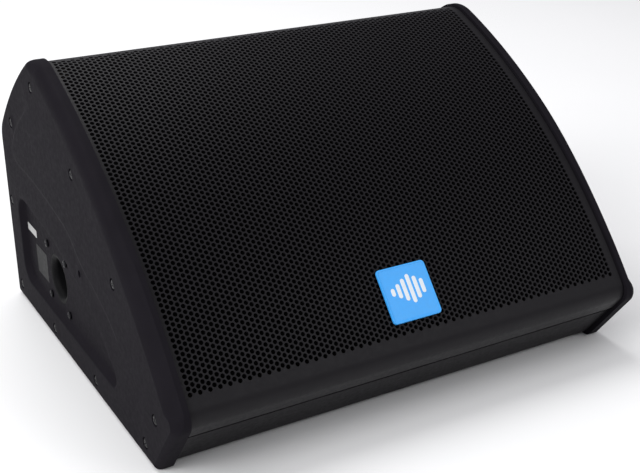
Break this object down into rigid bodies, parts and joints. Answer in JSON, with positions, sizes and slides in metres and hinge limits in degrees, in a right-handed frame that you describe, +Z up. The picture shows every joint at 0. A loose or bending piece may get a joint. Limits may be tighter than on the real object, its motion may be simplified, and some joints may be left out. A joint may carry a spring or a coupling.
{
  "type": "stage monitor wedge",
  "caption": "Black floor monitor loudspeaker wedge: curved perforated grille between moulded end caps, side pole socket, recessed rear handle, amplifier panel with knobs and sockets.",
  "frame": {"origin": "centre of the footprint, on the floor", "axes": "+X to the right seen from the front (the object's left cap is at -X), -Y towards the listener's side with the grille, +Z up"},
  "size_m": [0.475, 0.4249, 0.283],
  "materials": {
    "cap_plastic": "fine moulded grain",
    "plywood": "bare birch plywood",
    "painted_plywood": "black textured paint",
    "grille_steel": "black powder coat",
    "acoustic_foam": "open-cell foam",
    "badge_plastic": "satin enamel",
    "basket_alloy": "black coated casting",
    "surround_rubber": "matt",
    "cone_paper": "pressed paper",
    "coil_wire": "copper-clad aluminium wire",
    "spider_cloth": "resin-dipped cloth",
    "ferrite": "sintered",
    "motor_steel": "zinc plated",
    "bright_steel": "plated",
    "screw_black": "black zinc",
    "black_plastic": "moulded",
    "rocker_plastic": "polished",
    "knob_plastic": "satin",
    "grip_rubber": "fine ribbed",
    "plate_paint": "black powder coat",
    "heatsink_alloy": "black anodised",
    "circuit_board": "solder mask",
    "light_lens": "clear tinted"
  },
  "bodies": {
    "cabinet": {"left_side_cap": "cap_plastic", "right_side_cap": "cap_plastic", "left_side_panel": "plywood", "right_side_panel": "plywood", "baffle_board": "plywood", "bottom_panel": "painted_plywood", "front_sill": "painted_plywood", "rear_panel": "painted_plywood", "top_rear_panel": "painted_plywood", "grille": "grille_steel", "grille_foam": "acoustic_foam", "badge": "badge_plastic", "woofer_basket": "basket_alloy", "woofer_surround": "surround_rubber", "woofer_spider": "spider_cloth", "woofer_magnet": "ferrite", "magnet_front_plate": "motor_steel", "magnet_back_plate": "motor_steel", "coax_horn": "black_plastic", "hf_driver": "black_plastic", "left_port": "black_plastic", "right_port": "black_plastic", "pole_cup": "black_plastic", "handle_cup": "black_plastic", "handle_grip": "grip_rubber", "amp_plate": "plate_paint", "heatsink": "heatsink_alloy", "amp_board": "circuit_board", "power_board": "circuit_board", "mains_inlet": "black_plastic", "switch_frame": "black_plastic", "xlr_input": "black_plastic", "xlr_output": "black_plastic", "volume_pot": "bright_steel", "low_pot": "bright_steel", "high_pot": "bright_steel", "button_switch": "black_plastic", "power_light": "light_lens", "cap_screw_01": "screw_black", "cap_screw_02": "screw_black", "cap_screw_03": "screw_black", "cap_screw_04": "screw_black", "cap_screw_05": "screw_black", "cap_screw_06": "screw_black", "cap_screw_07": "screw_black", "cap_screw_08": "screw_black", "cap_screw_09": "screw_black", "cap_screw_10": "screw_black", "pole_cup_screw_1": "screw_black", "pole_cup_screw_2": "screw_black", "pole_cup_screw_3": "screw_black", "pole_cup_screw_4": "screw_black"},
    "cone": {"woofer_cone": "cone_paper", "voice_coil": "coil_wire"},
    "volume_knob": {"volume_knob": "knob_plastic"},
    "low_knob": {"low_knob": "knob_plastic"},
    "high_knob": {"high_knob": "knob_plastic"},
    "rocker": {"power_rocker": "rocker_plastic"},
    "latch": {"xlr_latch": "bright_steel"},
    "ground_lift_button": {"ground_lift_button": "knob_plastic"}
  },
  "joints": [
    {"name": "cone_travel", "type": "slide", "parent": "cabinet", "child": "cone", "axis": [0, -0.6053, 0.796], "range_m": [-0.005, 0.005], "stiffness_N_per_m": 6000, "deforming": ["woofer_surround", "woofer_spider"]},
    {"name": "volume_turn", "type": "hinge", "parent": "cabinet", "child": "volume_knob", "pos_m": [0.062, 0.1882, 0.125], "axis": [0, 1, 0], "range_deg": [-150, 150]},
    {"name": "low_turn", "type": "hinge", "parent": "cabinet", "child": "low_knob", "pos_m": [0.092, 0.1882, 0.125], "axis": [0, 1, 0], "range_deg": [-150, 150]},
    {"name": "high_turn", "type": "hinge", "parent": "cabinet", "child": "high_knob", "pos_m": [0.122, 0.1882, 0.125], "axis": [0, 1, 0], "range_deg": [-150, 150]},
    {"name": "power_rock", "type": "hinge", "parent": "cabinet", "child": "rocker", "pos_m": [0.058, 0.1867, 0.058], "axis": [-1, 0, 0], "range_deg": [0, 14]},
    {"name": "latch_press", "type": "slide", "parent": "cabinet", "child": "latch", "axis": [0, -1, 0], "range_m": [0, 0.0015], "stiffness_N_per_m": 400},
    {"name": "ground_lift_press", "type": "slide", "parent": "cabinet", "child": "ground_lift_button", "axis": [0, -1, 0], "range_m": [0, 0.002], "stiffness_N_per_m": 500}
  ]
}
